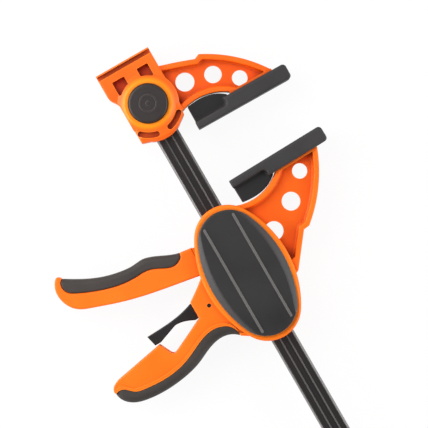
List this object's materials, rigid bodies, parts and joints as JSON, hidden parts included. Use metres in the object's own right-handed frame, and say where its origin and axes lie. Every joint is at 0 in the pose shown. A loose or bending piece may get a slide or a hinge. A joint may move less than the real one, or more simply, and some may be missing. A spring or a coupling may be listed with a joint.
{
  "type": "one-handed trigger bar clamp",
  "caption": "One-handed trigger bar clamp: a flat steel bar, a fixed jaw with a lock button, and a sliding jaw with padded face, pistol handle, trigger and release lever.",
  "frame": {"origin": "on the bar's axis, level with the heel of the fixed pad's clamping face", "axes": "+X along the bar from the fixed jaw to its free end, +Y from the bar towards the pads, +Z out of the face with the lock button; the clamp lies on its back cover"},
  "size_m": [0.5167, 0.2386, 0.043],
  "materials": {
    "black_steel": "blackened, satin",
    "bright_steel": "bright",
    "plate_steel": "hardened, satin",
    "spring_steel": "drawn wire",
    "orange_moulding": "moulded, satin",
    "dark_moulding": "fine texture",
    "pad_rubber": "soft, matt",
    "grip_rubber": "soft, matt"
  },
  "bodies": {
    "bar": {"bar": "black_steel", "bar_stop_pin": "bright_steel", "fixed_jaw": "orange_moulding", "fixed_jaw_pad": "pad_rubber", "button_spring": "spring_steel", "jaw_back_cap": "dark_moulding"},
    "lock_button": {"lock_button": "dark_moulding", "lock_key": "bright_steel"},
    "sliding_jaw": {"jaw_frame": "orange_moulding", "front_cover": "dark_moulding", "back_cover": "dark_moulding", "sliding_jaw_pad": "pad_rubber", "handle_grip": "grip_rubber", "trigger_pivot_pin": "bright_steel", "release_pivot_pin": "bright_steel", "drive_spring": "spring_steel", "brake_spring": "spring_steel", "release_spring": "spring_steel"},
    "trigger": {"trigger": "orange_moulding", "trigger_grip": "grip_rubber"},
    "drive_plates": {"drive_plate_front": "plate_steel", "drive_plate_rear": "plate_steel"},
    "brake_plate": {"brake_plate": "plate_steel"},
    "release_lever": {"release_lever": "dark_moulding"}
  },
  "joints": [
    {"name": "jaw_slide", "type": "slide", "parent": "bar", "child": "sliding_jaw", "axis": [1, 0, 0], "range_m": [-0.042, 0.2595]},
    {"name": "trigger_pull", "type": "hinge", "parent": "sliding_jaw", "child": "trigger", "pos_m": [0.084, 0.014, 0], "axis": [0, 0, 1], "range_deg": [0, 14], "stiffness_Nm_per_rad": 1, "springref_deg": -14.32, "deforming": ["drive_spring"]},
    {"name": "drive_plates_push", "type": "slide", "parent": "sliding_jaw", "child": "drive_plates", "axis": [1, 0, 0], "range_m": [0, 0.0072]},
    {"name": "release_pull", "type": "hinge", "parent": "sliding_jaw", "child": "release_lever", "pos_m": [0.1203, -0.0372, 0], "axis": [0, 0, 1], "range_deg": [0, 9], "stiffness_Nm_per_rad": 0.6, "springref_deg": -14.32, "deforming": ["release_spring"]},
    {"name": "brake_tilt", "type": "hinge", "parent": "sliding_jaw", "child": "brake_plate", "pos_m": [0.11994, 0.019, 0], "axis": [0, 0, 1], "range_deg": [-4.6, 0]},
    {"name": "button_press", "type": "slide", "parent": "bar", "child": "lock_button", "axis": [0, 0, -1], "range_m": [0, 0.0056], "stiffness_N_per_m": 400, "springref_m": -0.004, "deforming": ["button_spring"]}
  ],
  "couplings": [
    {"joint": "drive_plates_push", "follows": "trigger_pull", "m_per_rad": 0.029},
    {"joint": "brake_tilt", "follows": "release_pull", "ratio": -0.5}
  ]
}
